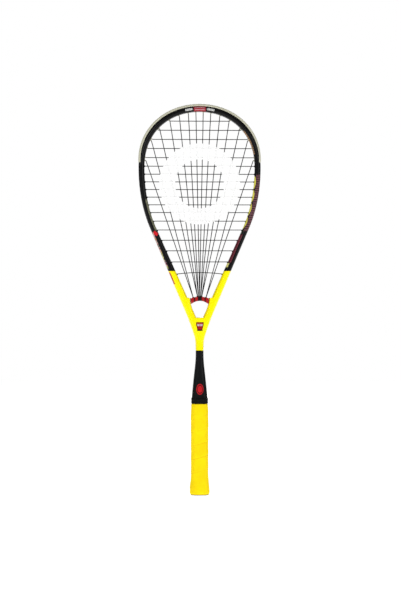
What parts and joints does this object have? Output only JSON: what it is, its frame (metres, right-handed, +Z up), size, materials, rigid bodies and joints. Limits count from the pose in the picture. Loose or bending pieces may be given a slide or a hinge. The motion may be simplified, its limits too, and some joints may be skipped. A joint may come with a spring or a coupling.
{
  "type": "squash racket",
  "caption": "Squash racket with a teardrop head, woven strings, a throat bridge, a bumper guard and a wrapped handle with a sliding rubber collar.",
  "frame": {"origin": "on the axis of the handle at the middle of the grip, where the hand closes, 80 mm above the butt end", "axes": "+Z up along the racket to the top of the head, +X across the string face to the right, +Y through the depth from the front of the face to its back"},
  "size_m": [0.215, 0.0314, 0.6858],
  "materials": {
    "frame_paint": "gloss",
    "bridge_paint": "satin",
    "grommet": "satin",
    "bumper": "satin",
    "string": "satin",
    "handle_foam": "satin",
    "cap": "matte",
    "staple": "satin",
    "grip": "matte",
    "tape": "matte",
    "collar": "matte"
  },
  "bodies": {
    "racket": {"frame": "frame_paint", "throat_bridge": "bridge_paint", "bridge_grommet_centre": "grommet", "bridge_grommet_left": "grommet", "bridge_grommet_right": "grommet", "bumper_guard": "bumper", "side_grommet_strip_left": "grommet", "side_grommet_strip_right": "grommet", "arm_grommet_left_upper": "grommet", "arm_grommet_left_lower": "grommet", "arm_grommet_right_upper": "grommet", "arm_grommet_right_lower": "grommet", "main_string": "string", "cross_string": "string", "handle_pallet": "handle_foam", "butt_cap": "cap", "butt_cap_staple_front": "staple", "butt_cap_staple_back": "staple", "butt_cap_staple_side": "staple", "grip": "grip", "finishing_tape": "tape"},
    "grip_collar": {"grip_collar": "collar"}
  },
  "joints": [
    {"name": "collar_slide", "type": "slide", "parent": "racket", "child": "grip_collar", "axis": [0, 0, 1], "range_m": [0, 0.03]}
  ]
}
